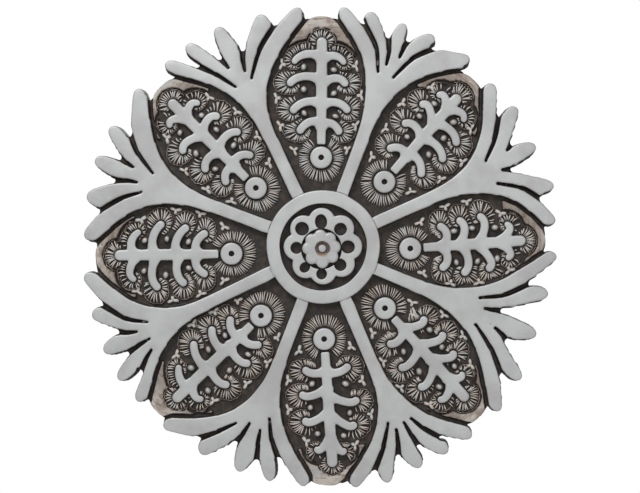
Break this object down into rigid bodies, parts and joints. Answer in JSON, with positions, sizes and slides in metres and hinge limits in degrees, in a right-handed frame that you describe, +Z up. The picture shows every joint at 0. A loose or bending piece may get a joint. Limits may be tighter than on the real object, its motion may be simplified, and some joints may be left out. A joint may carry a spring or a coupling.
{
  "type": "wall sculpture",
  "caption": "Round wall medallion of fired clay: a flower in a ring, branching arms that end in rounded fingers, and sunk petals with leafy sprigs between the arms.",
  "frame": {"origin": "centre of the ring, on the flat back that lies against the wall", "axes": "+Z up as it hangs, the carved front faces -Y, +Y goes into the wall"},
  "size_m": [0.2973, 0.0128, 0.3018],
  "materials": {
    "silvered_clay": "worn silver-grey paint over dark brown clay, low sheen"
  },
  "bodies": {
    "root": {"medallion": "silvered_clay"}
  },
  "joints": []
}
